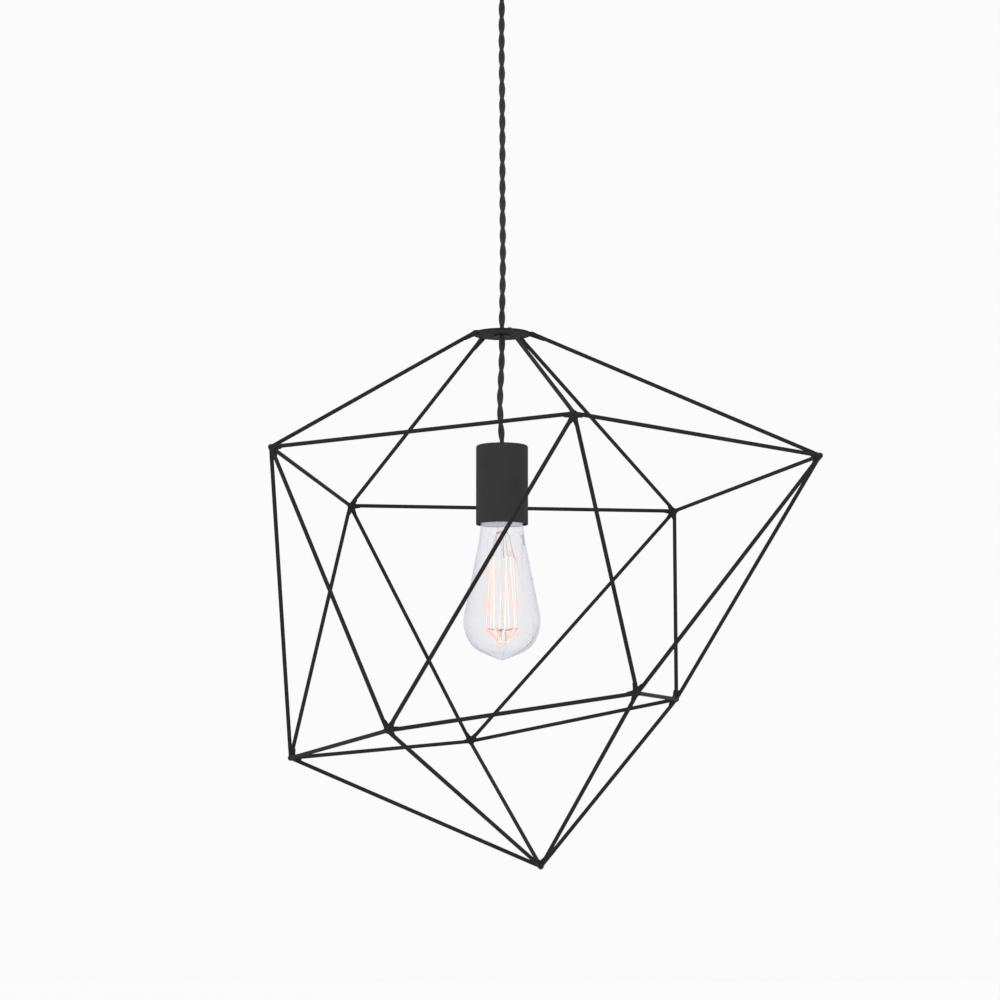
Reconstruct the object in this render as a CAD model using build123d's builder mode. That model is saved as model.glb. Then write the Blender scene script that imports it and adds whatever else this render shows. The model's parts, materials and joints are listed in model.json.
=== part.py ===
from build123d import *
import math
import os

os.makedirs("parts", exist_ok=True)

# Pendant lamp with an irregular wire cage, hung from a ceiling cup on a twisted cord.
# The origin is on the ceiling, over the cord. +Z is up and +X is to the right of the
# lamp as a person in front of it sees it, with +Y going away from that person.

# Heights of the main pieces
cord_drop = 308.0            # from under the cord grip to the underside of the cap plate
socket_drop = 94.0           # from the underside of the cap plate to the top of the socket cover

# General clearances
joint_gap = 0.3              # between pieces that move against each other
running_gap = 0.08           # radial, between a shaft and the bush that turns on it
fit_gap = 0.1                # radial, between pieces pushed into each other

# Ceiling bracket, a bent steel strip
bracket_thick = 2.0
bracket_width = 18.0
bracket_ear_drop = 15.0      # how far its two ears hang down
bracket_ear_corner = 3.0     # radius of the ears' lower corners
bracket_slot_spacing = 70.0
bracket_slot_radius = 2.25
bracket_slot_length = 12.0
bracket_cable_hole = 5.5     # radius of the hole for the house cable
side_screw_drop = 9.0        # from the ceiling to the screws through the ears
side_screw_radius = 1.75
side_screw_head = 3.4
side_screw_head_height = 2.2
side_screw_slot = 0.85       # width of the slot for the screwdriver
side_screw_slot_depth = 1.1
side_screw_reach = 6.0       # how far the screw goes past the ear's inner face

# Ceiling cup
cup_radius = 50.0
cup_height = 48.0
cup_wall = 1.0
cup_edge = 7.0               # radius of the rounded lower edge

# Cord grip, a nylon collar on a threaded neck, with its nut
grip_radius = 8.0
grip_height = 9.0
grip_taper = 1.5
neck_radius = 5.0
neck_height = 10.0           # above the underside of the cup
nut_height = 4.0
nut_across_flats = 14.0

# Terminal block under the bracket
pole_pitch = 9.0
pole_count = 3
block_depth = 13.0
block_height = 18.0
block_base = 9.0             # depth of the part behind the screw towers
block_edge = 0.8             # radius of its upright edges
tower_radius = 3.2
sleeve_radius = 2.3
sleeve_bore = 1.4
sleeve_inset = 2.0           # from the block's faces to the ends of a sleeve
terminal_screw_radius = 1.3
terminal_screw_length = 4.5
terminal_screw_inset = 4.5   # from the block's top and underside to the screws

# Twisted cord: two cloth-covered cores
cord_radius = 2.5
core_radius = 1.2
core_straight = 5.0          # straight run of a core below the terminal block
core_bend = 2.4              # radius of its bends in the cup
holder_core_bend = 1.2       # radius of its bends in the lampholder

# Cap plate that the five upper rods are welded to
plate_radius = 24.7
plate_thick = 2.0
bush_radius = 4.5
bush_flange_radius = 6.5
bush_flange_thick = 1.2
ring_radius = 3.6            # crimped ring that carries the cage on the cord
ring_thick = 1.1

# Cage
rod_radius = 1.65
weld_reach = 7.0             # from a corner to the face where a rod meets its weld
bead_radius = 2.5            # weld bead at a corner
rim_overlap = 2.0            # how far a crown rod's end is let into the rim of the cap plate

# Corners of the cage, measured from the centre of the cap plate
corners = {
    "left_upper": (-185, -105, -111),
    "back_left_upper": (-135, 146, -128),
    "front_upper": (55, -210, -100),
    "back_right_upper": (156, 187, -128),
    "right_upper": (261, -48, -110),
    "left_lower": (-177, 29, -355),
    "front_left_lower": (-87, -197, -341),
    "back_lower": (-29, 231, -334),
    "front_right_lower": (105, -146, -310),
    "back_right_lower": (150, 86, -303),
    "bottom": (32, 8, -445),
}
upper_ring = ["left_upper", "back_left_upper", "back_right_upper", "right_upper", "front_upper"]
lower_ring = ["left_lower", "front_left_lower", "front_right_lower", "back_right_lower", "back_lower"]
belt = [
    "left_upper", "front_left_lower", "front_upper", "front_right_lower", "right_upper",
    "back_right_lower", "back_right_upper", "back_lower", "back_left_upper", "left_lower",
]

# Socket cover
cover_radius = 21.8
cover_wall = 1.2
cover_height = 66.5
cover_edge = 1.5
cover_bush_radius = 4.0
cover_flange_radius = 6.0
cover_flange_thick = 1.0

# Lampholder inside the cover
holder_radius = 19.0
holder_wall = 2.4
holder_dome = 11.0           # height of the domed part of its cap
holder_dome_flatness = 1.2   # radius of the dome's arc over that of a quarter circle
holder_neck_radius = 7.5
holder_neck_wall = 1.2       # wall of the cap round its neck
holder_skirt = 9.0           # height of the straight part of its cap
holder_body_height = 37.0
holder_deck = 5.0            # thickness of the deck that carries the contacts
holder_spigot = 5.0          # how far the body stands up into the cap
holder_front_edge = 0.8      # radius of the body's lower outer edge
cord_tail = 4.0              # how far the cord goes into the cap before its cores part
core_spread = 8.0            # from the axis to a terminal on the deck
deck_terminal_radius = 2.4
deck_terminal_height = 6.0
shell_wall = 0.6
shell_lip = 1.8              # how far its top is turned in
shell_height = 23.0
shell_start = 4.0            # from the deck to the top of the threaded shell
contact_thick = 0.5
contact_width = 6.0
contact_foot = 8.0           # length of the foot that is fixed to the deck
contact_tip = 4.0            # length of the flat tip that touches the bulb

# Bulb, a clear pear shape on a 27 mm screw cap
bulb_cap_radius = 12.9
bulb_cap_height = 22.0
bulb_cap_wall = 0.5
bulb_cap_top = 8.5           # radius where the cap meets its insulator
bulb_insulator_height = 3.4
bulb_contact_radius = 4.7
bulb_contact_height = 1.2
bulb_contact_edge = 0.6
bulb_contact_gap = 7.3       # from the holder's deck to the bulb's contact
glass_wall = 0.8
glass_length = 119.0         # from the rim of the screw cap to the tip
glass_shoulder_radius = 16.8
glass_shoulder_drop = 5.5
glass_cone_radius = 30.4     # where the straight cone turns into the belly
glass_cone_drop = 77.0
glass_belly_radius = 32.0
glass_belly_drop = 86.5
glass_chin_radius = 25.6
glass_chin_drop = 105.2
glass_nose_radius = 3.0
glass_nose_height = 0.9
glass_neck = 12.0            # length of the neck inside the screw cap
glass_flare = (0.6, -0.8)    # direction of the outline where it leaves the screw cap
glass_slope = (0.2, -1)      # and where the shoulder runs into the cone

# Inside the bulb
stem_radius = 4.2
stem_drop = 13.5             # from the rim of the screw cap to the stem's button
button_radius = 5.4
button_thick = 2.0
rod_inside_radius = 0.9      # glass rod that carries the lower supports
lower_hub_drop = 94.0
hub_radius = 1.9
wire_radius = 0.25
filament_radius = 0.3
hook_count = 5
hook_drop = 34.0
hook_ring_radius = 10.8
hook_half_angle = 9.0
eyelet_drop = 92.0
eyelet_ring_radius = 14.4
eyelet_half_angle = 18.0
tip_hook_drop = 105.0
tip_hook_ring_radius = 3.5


def save(piece, name):
    piece.part.label = name
    export_step(piece.part, f"parts/{name}.step")


def rod_along(start, end, radius):
    """Add a round bar from start to end to the part being built."""
    direction = Vector(end) - Vector(start)
    with BuildSketch(Plane(origin=start, z_dir=direction)) as section:
        Circle(radius)
    extrude(section.sketch, amount=direction.length)


def ring(outer, inner, bottom, height):
    """Add a plain ring on the lamp's axis to the part being built."""
    with BuildSketch(Plane.XY.offset(bottom)) as section:
        Circle(outer)
        if inner > 0:
            Circle(inner, mode=Mode.SUBTRACT)
    extrude(section.sketch, amount=height)


# Places on the lamp's axis, worked out from the sizes above
grip_exit = -cup_height - grip_height
swing_point = grip_exit - joint_gap - cord_radius
plate_bottom = grip_exit - cord_drop
plate_middle = plate_bottom + plate_thick / 2
bush_bottom = plate_bottom - bush_flange_thick
ring_bottom = bush_bottom + fit_gap
socket_swing_point = ring_bottom - joint_gap - cord_radius
cover_top = plate_bottom - socket_drop
cover_inner_top = cover_top - cover_wall
holder_top = cover_inner_top - cover_flange_thick
cap_skirt_top = holder_top - holder_dome
deck_top = cap_skirt_top - holder_skirt
deck_bottom = deck_top - holder_deck
holder_front = deck_top - holder_body_height
bulb_tip_contact = deck_bottom - bulb_contact_gap
insulator_top = bulb_tip_contact - bulb_contact_height
cap_top = insulator_top - bulb_insulator_height
cap_rim = cap_top - bulb_cap_height

# The ceiling bracket: a strip with slots for the ceiling screws and an ear at each end
ear_outside = math.sqrt((cup_radius - cup_wall) ** 2 - (bracket_width / 2) ** 2) - joint_gap
ear_inside = ear_outside - bracket_thick
with BuildPart() as ceiling_bracket:
    with BuildSketch():
        Rectangle(2 * ear_outside, bracket_width)
        with GridLocations(bracket_slot_spacing, 0, 2, 1):
            SlotOverall(bracket_slot_length, 2 * bracket_slot_radius, mode=Mode.SUBTRACT)
        Circle(bracket_cable_hole, mode=Mode.SUBTRACT)
    extrude(amount=-bracket_thick)
    for side in (-1, 1):
        ear_middle = side * (ear_inside + bracket_thick / 2)
        with BuildSketch(Plane.XY):
            with Locations((ear_middle, 0)):
                Rectangle(bracket_thick, bracket_width)
        extrude(amount=-bracket_ear_drop)
        screw_plane = Plane(origin=(ear_middle, 0, -side_screw_drop), z_dir=(side, 0, 0))
        with BuildSketch(screw_plane):
            Circle(side_screw_radius + fit_gap)
        extrude(amount=bracket_thick, both=True, mode=Mode.SUBTRACT)
    ear_corners = ceiling_bracket.edges().filter_by(Axis.X).group_by(Axis.Z)[0]
    fillet(ear_corners, radius=bracket_ear_corner)
save(ceiling_bracket, "ceiling_bracket")

# The ceiling cup: spun steel with a rounded lower edge, open towards the ceiling
with BuildPart() as canopy_cup:
    with BuildSketch(Plane.XZ):
        with BuildLine():
            inner_radius = cup_radius - cup_wall
            inner_edge = cup_edge - cup_wall
            floor = -cup_height + cup_wall
            Line((neck_radius + fit_gap, -cup_height), (cup_radius - cup_edge, -cup_height))
            CenterArc((cup_radius - cup_edge, -cup_height + cup_edge), cup_edge, 270, 90)
            Line((cup_radius, -cup_height + cup_edge), (cup_radius, 0))
            Line((cup_radius, 0), (inner_radius, 0))
            Line((inner_radius, 0), (inner_radius, -cup_height + cup_edge))
            CenterArc((cup_radius - cup_edge, -cup_height + cup_edge), inner_edge, 0, -90)
            Line((cup_radius - cup_edge, floor), (neck_radius + fit_gap, floor))
            Line((neck_radius + fit_gap, floor), (neck_radius + fit_gap, -cup_height))
        make_face()
    revolve(axis=Axis.Z)
    with BuildSketch(Plane(origin=(-cup_radius, 0, -side_screw_drop), z_dir=(1, 0, 0))):
        Circle(side_screw_radius + fit_gap)
    extrude(amount=2 * cup_radius, mode=Mode.SUBTRACT)
save(canopy_cup, "canopy_cup")

# Two screws through the cup's wall into the bracket's ears
with BuildPart() as canopy_side_screws:
    for side in (-1, 1):
        seat = Plane(origin=(side * cup_radius, 0, -side_screw_drop), z_dir=(side, 0, 0))
        with BuildSketch(seat):
            Circle(side_screw_head)
        extrude(amount=side_screw_head_height)
        with BuildSketch(seat.offset(side_screw_head_height)):
            Rectangle(side_screw_head, side_screw_slot)
        extrude(amount=-side_screw_slot_depth, mode=Mode.SUBTRACT)
        with BuildSketch(seat):
            Circle(side_screw_radius)
        extrude(amount=-(cup_radius - ear_inside + side_screw_reach))
save(canopy_side_screws, "canopy_side_screws")

# The cord grip: a tapered collar under the cup and a threaded neck through its floor
cord_bore = cord_radius + fit_gap
with BuildPart() as cord_grip:
    with BuildSketch(Plane.XZ):
        with BuildLine():
            Polyline(
                (cord_bore, grip_exit),
                (grip_radius - grip_taper, grip_exit),
                (grip_radius, -cup_height - grip_taper),
                (grip_radius, -cup_height),
                (neck_radius, -cup_height),
                (neck_radius, -cup_height + neck_height),
                (cord_bore, -cup_height + neck_height),
                close=True,
            )
        make_face()
    revolve(axis=Axis.Z)
save(cord_grip, "cord_grip")

with BuildPart() as cord_grip_nut:
    with BuildSketch(Plane.XY.offset(floor)):
        RegularPolygon(nut_across_flats / 2, 6, major_radius=False)
        Circle(neck_radius + fit_gap, mode=Mode.SUBTRACT)
    extrude(amount=nut_height)
save(cord_grip_nut, "cord_grip_nut")

# The terminal block hangs under the bracket, with its wire holes upright
block_top = -bracket_thick
block_bottom = block_top - block_height
pole_places = [(index - (pole_count - 1) / 2) * pole_pitch for index in range(pole_count)]
screw_heights = (block_top - terminal_screw_inset, block_bottom + terminal_screw_inset)
with BuildPart() as terminal_block:
    with BuildSketch(Plane.XY.offset(block_bottom)):
        Rectangle(pole_count * pole_pitch, block_base)
    extrude(amount=block_height)
    fillet(terminal_block.edges().filter_by(Axis.Z), radius=block_edge)
    for height in screw_heights:
        front = Plane(origin=(0, -block_base / 2, height), x_dir=(1, 0, 0), z_dir=(0, -1, 0))
        with BuildSketch(front):
            with GridLocations(pole_pitch, 0, pole_count, 1):
                Circle(tower_radius)
        extrude(amount=block_depth - block_base)
        with BuildSketch(front.offset(block_depth - block_base)):
            with GridLocations(pole_pitch, 0, pole_count, 1):
                Circle(terminal_screw_radius + fit_gap)
        extrude(amount=-(block_depth - block_base / 2), mode=Mode.SUBTRACT)
    with BuildSketch(Plane.XY.offset(block_bottom)):
        with GridLocations(pole_pitch, 0, pole_count, 1):
            Circle(sleeve_radius + fit_gap)
    extrude(amount=block_height, mode=Mode.SUBTRACT)
save(terminal_block, "terminal_block")

with BuildPart() as terminal_sleeves:
    with BuildSketch(Plane.XY.offset(block_bottom + sleeve_inset)):
        with GridLocations(pole_pitch, 0, pole_count, 1):
            Circle(sleeve_radius)
            Circle(sleeve_bore, mode=Mode.SUBTRACT)
    extrude(amount=block_height - 2 * sleeve_inset)
save(terminal_sleeves, "terminal_sleeves")

with BuildPart() as terminal_screws:
    for height in screw_heights:
        face = Plane(origin=(0, -sleeve_radius - fit_gap, height), x_dir=(1, 0, 0), z_dir=(0, -1, 0))
        with BuildSketch(face):
            with GridLocations(pole_pitch, 0, pole_count, 1):
                Circle(terminal_screw_radius)
        extrude(amount=terminal_screw_length)
save(terminal_screws, "terminal_screws")

# The two cores of the cord, from the grip's exit up into the outer poles of the block
core_offset = cord_radius - core_radius
core_pole = pole_places[-1]
core_end = block_bottom + sleeve_inset
neck_top = -cup_height + neck_height
with BuildPart() as canopy_cores:
    for side in (-1, 1):
        with BuildLine():
            FilletPolyline(
                (side * core_offset, 0, grip_exit),
                (side * core_offset, 0, neck_top + core_straight / 2),
                (side * core_pole, 0, block_bottom - core_straight),
                (side * core_pole, 0, core_end),
                radius=core_bend,
            )
        with BuildSketch(Plane(origin=(side * core_offset, 0, grip_exit), z_dir=(0, 0, 1))):
            Circle(core_radius)
        sweep()
save(canopy_cores, "canopy_cores")

# The cord above the cage hangs straight, with a round end where it swings
with BuildPart() as upper_cord:
    ring(cord_radius, 0, ring_bottom, swing_point - ring_bottom)
    with Locations((0, 0, swing_point)):
        Sphere(cord_radius)
save(upper_cord, "upper_cord")

with BuildPart() as crimp_ring:
    ring(ring_radius, cord_radius, ring_bottom, ring_thick)
save(crimp_ring, "crimp_ring")

# The bush in the cap plate sits over the crimped ring and lets the cage turn
bush_bore = cord_radius + running_gap
pocket_radius = ring_radius + joint_gap
pocket_top = ring_bottom + ring_thick + running_gap
plate_top = plate_bottom + plate_thick
with BuildPart() as cap_bush:
    with BuildSketch(Plane.XZ):
        with BuildLine():
            Polyline(
                (bush_bore, plate_top),
                (bush_radius, plate_top),
                (bush_radius, plate_bottom),
                (bush_flange_radius, plate_bottom),
                (bush_flange_radius, bush_bottom),
                (pocket_radius, bush_bottom),
                (pocket_radius, pocket_top),
                (bush_bore, pocket_top),
                close=True,
            )
        make_face()
    revolve(axis=Axis.Z)
save(cap_bush, "cap_bush")

# The cap plate, with a short weld stub for each of the five crown rods
plate_centre = Vector(0, 0, plate_middle)
corner_places = {name: plate_centre + Vector(place) for name, place in corners.items()}


def rim_place(name):
    """The point on the cap plate's rim that faces a corner of the cage."""
    place = corner_places[name]
    reach = math.hypot(place.X, place.Y)
    return Vector(place.X * plate_radius / reach, place.Y * plate_radius / reach, plate_middle)


with BuildPart() as cap_plate:
    with BuildSketch(Plane.XY.offset(plate_bottom)):
        Circle(plate_radius)
    extrude(amount=plate_thick)
    for name in upper_ring:
        start = rim_place(name)
        toward = (corner_places[name] - start).normalized()
        rod_along(start - toward * rim_overlap, start + toward * weld_reach, rod_radius)
    with BuildSketch(Plane.XY.offset(plate_bottom)):
        Circle(bush_radius)
    extrude(amount=plate_thick, mode=Mode.SUBTRACT)
save(cap_plate, "cap_plate")

# The thirty rods of the cage, each from weld to weld
rods = {}
for name in upper_ring:
    rods[f"crown_rod_{name}"] = (rim_place(name), corner_places[name])
for name in lower_ring:
    rods[f"base_rod_{name}"] = (corner_places["bottom"], corner_places[name])
for group, names in (("upper_ring", upper_ring), ("lower_ring", lower_ring), ("belt", belt)):
    for index, (first, second) in enumerate(zip(names, names[1:] + names[:1]), start=1):
        rods[f"{group}_rod_{index}"] = (corner_places[first], corner_places[second])

for name, (start, end) in rods.items():
    toward = (end - start).normalized()
    with BuildPart() as cage_rod:
        rod_along(start + toward * weld_reach, end - toward * weld_reach, rod_radius)
    save(cage_rod, name)

# The welded corners: a bead with a stub towards each rod that meets there
with BuildPart() as corner_welds:
    for corner in corner_places.values():
        with Locations(corner):
            Sphere(bead_radius)
        for start, end in rods.values():
            for here, there in ((start, end), (end, start)):
                if (here - corner).length < bead_radius:
                    toward = (there - here).normalized()
                    rod_along(corner, corner + toward * weld_reach, rod_radius)
save(corner_welds, "corner_welds")

# The cord below the cap plate, down into the lampholder
cord_end = holder_top - cord_tail
with BuildPart() as lower_cord:
    ring(cord_radius, 0, cord_end, socket_swing_point - cord_end)
    with Locations((0, 0, socket_swing_point)):
        Sphere(cord_radius)
save(lower_cord, "lower_cord")

# The socket cover: a drawn steel cup, open downwards
cover_bottom = cover_top - cover_height
with BuildPart() as socket_cover:
    ring(cover_radius, 0, cover_bottom, cover_height)
    fillet(socket_cover.edges().group_by(Axis.Z)[-1], radius=cover_edge)
    with BuildSketch(Plane.XY.offset(cover_bottom)):
        Circle(cover_radius - cover_wall)
    extrude(amount=cover_height - cover_wall, mode=Mode.SUBTRACT)
    with BuildSketch(Plane.XY.offset(cover_top)):
        Circle(cover_bush_radius)
    extrude(amount=-cover_wall, mode=Mode.SUBTRACT)
save(socket_cover, "socket_cover")

with BuildPart() as cover_bush:
    ring(cover_bush_radius, cord_bore, cover_inner_top, cover_wall)
    ring(cover_flange_radius, cord_bore, holder_top, cover_flange_thick)
save(cover_bush, "cover_bush")

# The lampholder's cap: a domed moulding, hollow inside, screwed onto the body
dome_radius = holder_radius - holder_neck_radius
spigot_radius = holder_radius - holder_wall
spigot_top = deck_top + holder_spigot
with BuildPart() as holder_cap:
    with BuildSketch(Plane.XZ):
        with BuildLine():
            Line((cord_bore, holder_top), (holder_neck_radius, holder_top))
            RadiusArc(
                (holder_neck_radius, holder_top),
                (holder_radius, cap_skirt_top),
                holder_dome_flatness * dome_radius,
            )
            Polyline(
                (holder_radius, cap_skirt_top),
                (holder_radius, deck_top),
                (spigot_radius, deck_top),
                (spigot_radius, cap_skirt_top),
            )
            RadiusArc(
                (spigot_radius, cap_skirt_top),
                (holder_neck_radius - holder_neck_wall, holder_top - holder_wall),
                -holder_dome_flatness * (dome_radius - holder_neck_wall),
            )
            Polyline(
                (holder_neck_radius - holder_neck_wall, holder_top - holder_wall),
                (cord_bore, holder_top - holder_wall),
                (cord_bore, holder_top),
            )
        make_face()
    revolve(axis=Axis.Z)
save(holder_cap, "holder_cap")

# The lampholder's body: a deck that carries the contacts, over the bore for the bulb
shell_outside = bulb_cap_radius + joint_gap + shell_wall
bore_radius = shell_outside + fit_gap
with BuildPart() as holder_body:
    ring(holder_radius, bore_radius, holder_front, deck_bottom - holder_front)
    ring(holder_radius, 0, deck_bottom, holder_deck)
    ring(spigot_radius - fit_gap, spigot_radius - holder_wall, deck_top, holder_spigot)
    fillet(holder_body.edges().group_by(Axis.Z)[0].sort_by(SortBy.RADIUS)[-1], radius=holder_front_edge)
save(holder_body, "holder_body")

with BuildPart() as thread_shell:
    ring(shell_outside, shell_outside - shell_wall, deck_bottom - shell_start - shell_height, shell_height)
    ring(shell_outside, shell_outside - shell_lip, deck_bottom - shell_start, shell_wall)
save(thread_shell, "thread_shell")

# The centre contact: a brass tongue folded down from the deck
tongue_drop = bulb_contact_gap - joint_gap
with BuildPart() as centre_contact:
    with BuildSketch(Plane.XZ.offset(-contact_width / 2)):
        with BuildLine():
            Polyline(
                (-contact_foot, deck_bottom),
                (-contact_foot, deck_bottom - contact_thick),
                (0, deck_bottom - tongue_drop),
                (contact_tip, deck_bottom - tongue_drop),
                (contact_tip, deck_bottom - tongue_drop + contact_thick),
                (contact_thick / 2, deck_bottom - tongue_drop + contact_thick),
                (-contact_foot / 2, deck_bottom - contact_thick),
                (0, deck_bottom - contact_thick),
                (0, deck_bottom),
                close=True,
            )
        make_face()
    extrude(amount=contact_width)
save(centre_contact, "centre_contact")

# Two terminals on the deck, and the cores that run to them
with BuildPart() as holder_terminals:
    for side in (-1, 1):
        with BuildSketch(Plane.XY.offset(deck_top)):
            with Locations((side * core_spread, 0)):
                Circle(deck_terminal_radius)
        extrude(amount=deck_terminal_height)
save(holder_terminals, "holder_terminals")

terminal_top = deck_top + deck_terminal_height
with BuildPart() as holder_cores:
    for side in (-1, 1):
        with BuildLine():
            FilletPolyline(
                (side * core_offset, 0, cord_end),
                (side * core_offset, 0, cord_end - core_radius),
                (side * core_spread, 0, terminal_top + core_radius),
                (side * core_spread, 0, terminal_top),
                radius=holder_core_bend,
            )
        with BuildSketch(Plane(origin=(side * core_offset, 0, cord_end), z_dir=(0, 0, -1))):
            Circle(core_radius)
        sweep()
save(holder_cores, "holder_cores")

# The bulb's screw cap, insulator and centre contact
with BuildPart() as bulb_cap:
    with BuildSketch(Plane.XZ):
        with BuildLine():
            cap_edge = cap_top - (bulb_cap_radius - bulb_cap_top)
            Polyline(
                (bulb_cap_top - bulb_cap_wall, cap_top),
                (bulb_cap_top, cap_top),
                (bulb_cap_radius, cap_edge),
                (bulb_cap_radius, cap_rim),
                (bulb_cap_radius - bulb_cap_wall, cap_rim),
                (bulb_cap_radius - bulb_cap_wall, cap_edge),
                close=True,
            )
        make_face()
    revolve(axis=Axis.Z)
save(bulb_cap, "bulb_cap")

with BuildPart() as bulb_insulator:
    with BuildSketch(Plane.XY.offset(cap_top)):
        Circle(bulb_cap_top)
    with BuildSketch(Plane.XY.offset(insulator_top)):
        Circle(bulb_contact_radius)
    loft()
save(bulb_insulator, "bulb_insulator")

with BuildPart() as bulb_contact:
    ring(bulb_contact_radius, 0, insulator_top, bulb_contact_height)
    fillet(bulb_contact.edges().group_by(Axis.Z)[-1], radius=bulb_contact_edge)
save(bulb_contact, "bulb_contact")


# The glass: a neck inside the cap, a shoulder, a straight cone, a belly and a short nose
def glass_outline(wall):
    """Half of the envelope's outline, drawn in by a wall, as lines and arcs."""
    neck = bulb_cap_radius - bulb_cap_wall - fit_gap - wall
    tip = cap_rim - glass_length + wall
    chin = cap_rim - glass_chin_drop + wall / 2
    nose = tip + glass_nose_height
    top = cap_rim + glass_neck
    shoulder = (glass_shoulder_radius - wall, cap_rim - glass_shoulder_drop)
    cone = (glass_cone_radius - wall, cap_rim - glass_cone_drop)
    with BuildLine() as outline:
        Line((0, top), (neck, top))
        Line((neck, top), (neck, cap_rim - joint_gap))
        Spline((neck, cap_rim - joint_gap), shoulder, tangents=(glass_flare, glass_slope))
        Line(shoulder, cone)
        ThreePointArc(
            cone,
            (glass_belly_radius - wall, cap_rim - glass_belly_drop),
            (glass_chin_radius - wall, chin),
        )
        Line((glass_chin_radius - wall, chin), (glass_nose_radius, nose))
        Line((glass_nose_radius, nose), (0, tip))
        Line((0, tip), (0, top))
    return outline


with BuildPart() as bulb_glass:
    with BuildSketch(Plane.XZ):
        add(glass_outline(0))
        make_face()
    revolve(axis=Axis.Z)
    with BuildSketch(Plane.XZ):
        add(glass_outline(glass_wall))
        make_face()
    revolve(axis=Axis.Z, mode=Mode.SUBTRACT)
save(bulb_glass, "bulb_glass")

# The glass stem: a flared tube sealed to the neck, a button and a rod down the middle
neck_inside = bulb_cap_radius - bulb_cap_wall - fit_gap - glass_wall
button_bottom = cap_rim - stem_drop
hub_place = cap_rim - lower_hub_drop
with BuildPart() as bulb_stem:
    with BuildSketch(Plane.XY.offset(cap_rim + glass_neck - glass_wall)):
        Circle(neck_inside)
    with BuildSketch(Plane.XY.offset(cap_rim)):
        Circle(stem_radius)
    loft()
    ring(stem_radius, 0, button_bottom + button_thick, stem_drop - button_thick)
    ring(rod_inside_radius, 0, hub_place, button_bottom + button_thick - hub_place)
save(bulb_stem, "bulb_stem")


def around(radius, angle, height):
    """A point inside the bulb, at an angle in degrees about the lamp's axis."""
    turn = math.radians(angle)
    return Vector(radius * math.cos(turn), radius * math.sin(turn), height)


# Support wires: a crown of hooks under the button, and a hub at the foot of the glass rod
hook_height = cap_rim - hook_drop
hook_end_radius = hook_ring_radius * math.cos(math.radians(hook_half_angle)) - wire_radius - filament_radius
eyelet_height = cap_rim - eyelet_drop
tip_hook_height = cap_rim - tip_hook_drop
hook_step = 360 / hook_count
with BuildPart() as bulb_supports:
    ring(button_radius, rod_inside_radius, button_bottom, button_thick)
    ring(hub_radius, rod_inside_radius, hub_place, button_thick)
    for index in range(hook_count):
        angle = index * hook_step
        top = around(button_radius - wire_radius, angle, button_bottom)
        rod_along(top, around(hook_end_radius, angle, hook_height), wire_radius)
save(bulb_supports, "bulb_supports")

# The squirrel-cage filament: up and down between the hooks, the eyelets and the tip
filament_points = []
for index in range(hook_count):
    angle = index * hook_step
    filament_points.append(around(hook_ring_radius, angle - hook_half_angle, hook_height))
    filament_points.append(around(hook_ring_radius, angle + hook_half_angle, hook_height))
    filament_points.append(around(eyelet_ring_radius, angle + eyelet_half_angle, eyelet_height))
    filament_points.append(around(tip_hook_ring_radius, angle + hook_step / 2, tip_hook_height))
    far_eyelet = angle + hook_step - eyelet_half_angle
    filament_points.append(around(eyelet_ring_radius, far_eyelet, eyelet_height))
with BuildPart() as bulb_filament:
    for start, end in zip(filament_points, filament_points[1:]):
        rod_along(start, end, filament_radius)
save(bulb_filament, "bulb_filament")
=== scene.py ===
import json
import math

import bmesh
import bpy
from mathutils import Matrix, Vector


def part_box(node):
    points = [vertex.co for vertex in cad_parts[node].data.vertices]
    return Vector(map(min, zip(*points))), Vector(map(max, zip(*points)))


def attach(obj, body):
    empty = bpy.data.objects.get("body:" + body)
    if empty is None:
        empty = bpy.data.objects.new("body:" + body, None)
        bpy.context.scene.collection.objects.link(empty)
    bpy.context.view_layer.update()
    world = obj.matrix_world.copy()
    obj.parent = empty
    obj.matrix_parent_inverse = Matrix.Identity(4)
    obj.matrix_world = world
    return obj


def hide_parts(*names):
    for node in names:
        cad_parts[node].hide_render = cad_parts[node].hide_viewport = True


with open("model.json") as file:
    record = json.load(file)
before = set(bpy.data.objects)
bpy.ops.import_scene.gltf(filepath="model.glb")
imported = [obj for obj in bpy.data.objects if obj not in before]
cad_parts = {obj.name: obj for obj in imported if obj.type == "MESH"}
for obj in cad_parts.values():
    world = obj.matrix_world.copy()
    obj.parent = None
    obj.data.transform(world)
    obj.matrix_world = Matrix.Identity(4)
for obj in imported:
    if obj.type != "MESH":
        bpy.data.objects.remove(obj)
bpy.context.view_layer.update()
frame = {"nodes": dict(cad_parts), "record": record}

# The camera and the light
# A long lens stands a little below the lamp and looks slightly up at it, so that the undersides
# of the cap plate and the socket show. The room is a white studio with large soft lamps.
plate_thick = 0.002
plate_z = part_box("cap_bush")[1].z - plate_thick / 2     # the bush is flush with the plate's top
camera_side = -0.0017
camera_distance = 2.300
camera_drop = 0.4233
camera_pitch = 7.0
frame_pixels = 1000
focal_pixels = 2770
sensor_width = 36.0

camera_data = bpy.data.cameras.new("camera")
camera_data.sensor_width = sensor_width
camera_data.lens = sensor_width * focal_pixels / frame_pixels
camera = bpy.data.objects.new("camera", camera_data)
camera.location = (camera_side, -camera_distance, plate_z - camera_drop)
camera.rotation_euler = (math.radians(90 + camera_pitch), 0, 0)
bpy.context.scene.collection.objects.link(camera)
bpy.context.scene.camera = camera
bpy.context.scene.view_settings.view_transform = "Standard"


def linear(colour):
    """Turn an sRGB hex colour, such as "3a3a3a", into linear red, green, blue and alpha."""
    channels = [int(colour[i:i + 2], 16) / 255 for i in (0, 2, 4)]
    straight = [c / 12.92 if c <= 0.04045 else ((c + 0.055) / 1.055) ** 2.4 for c in channels]
    return (*straight, 1.0)


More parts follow.
